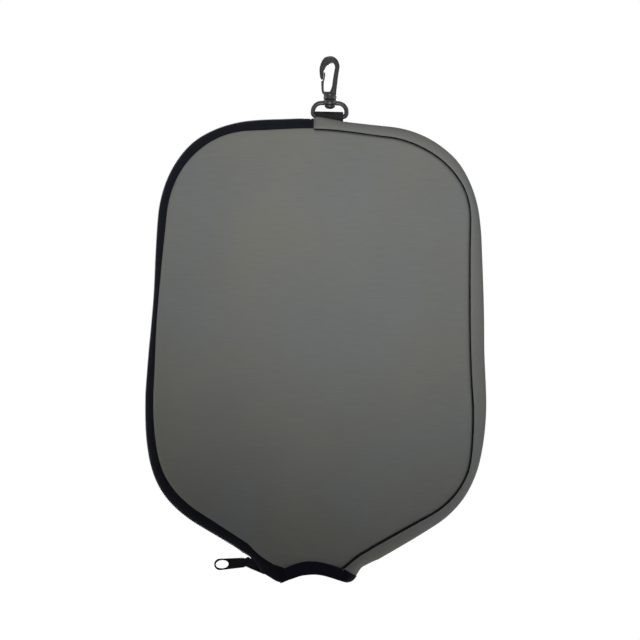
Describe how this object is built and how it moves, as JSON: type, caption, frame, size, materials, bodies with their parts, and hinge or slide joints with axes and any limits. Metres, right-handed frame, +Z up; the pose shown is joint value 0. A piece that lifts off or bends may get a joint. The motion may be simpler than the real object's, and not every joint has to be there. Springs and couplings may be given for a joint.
{
  "type": "zip-up racket cover",
  "caption": "Padded zip-up cover for a paddle or racket head, with a side zip, a bound mouth for the handle and a swivel snap hook to hang it by.",
  "frame": {"origin": "centre of the round bearing in the hook's crook, halfway through the hook's thickness", "axes": "+Z up with the cover hanging, -Y out of the front panel, +X to the right as the front is seen, so the zip is on the -X side"},
  "size_m": [0.2154, 0.0218, 0.3352],
  "materials": {
    "panel_cloth": "matt knit over closed-cell foam",
    "binding_cloth": "woven binding",
    "zip_tape": "woven tape",
    "coil_nylon": "nylon filament",
    "stop_metal": "black enamel",
    "slider_metal": "satin black enamel",
    "webbing": "woven webbing",
    "hook_plastic": "moulded acetal, satin"
  },
  "bodies": {
    "hook": {"snap_hook": "hook_plastic"},
    "gate": {"gate_tongue": "hook_plastic"},
    "ring": {"swivel_ring": "hook_plastic"},
    "case": {"front_panel": "panel_cloth", "back_panel": "panel_cloth", "side_gusset": "panel_cloth", "front_mouth_binding": "binding_cloth", "back_mouth_binding": "binding_cloth", "gusset_end_binding": "binding_cloth", "front_seam_tape": "binding_cloth", "back_seam_tape": "binding_cloth", "front_zip_tape": "zip_tape", "back_zip_tape": "zip_tape", "front_zip_coil": "coil_nylon", "back_zip_coil": "coil_nylon", "zip_end_tab": "panel_cloth", "zip_bottom_stop": "stop_metal", "front_top_stop": "stop_metal", "back_top_stop": "stop_metal", "hook_webbing": "webbing"},
    "slider": {"zip_slider": "slider_metal", "pull_pin": "slider_metal"},
    "pull": {"zip_pull": "slider_metal"}
  },
  "joints": [
    {"name": "gate_flex", "type": "hinge", "parent": "hook", "child": "gate", "pos_m": [-0.0035, 0, -0.0164], "axis": [0, 1, 0], "range_deg": [0, 20], "stiffness_Nm_per_rad": 0.15},
    {"name": "ring_swivel", "type": "hinge", "parent": "hook", "child": "ring", "pos_m": [0, 0, -0.0222], "axis": [0, 0, 1], "continuous": true},
    {"name": "case_swing", "type": "hinge", "parent": "ring", "child": "case", "pos_m": [0, 0, -0.0312], "axis": [1, 0, 0], "range_deg": [-75, 75]},
    {"name": "zip_slide", "type": "slide", "parent": "case", "child": "slider", "axis": [-0.853, 0, 0.522], "range_m": [0, 0.032]},
    {"name": "pull_flip", "type": "hinge", "parent": "slider", "child": "pull", "pos_m": [-0.04685, 0, -0.3151], "axis": [0, 1, 0], "range_deg": [-110, 25]}
  ]
}
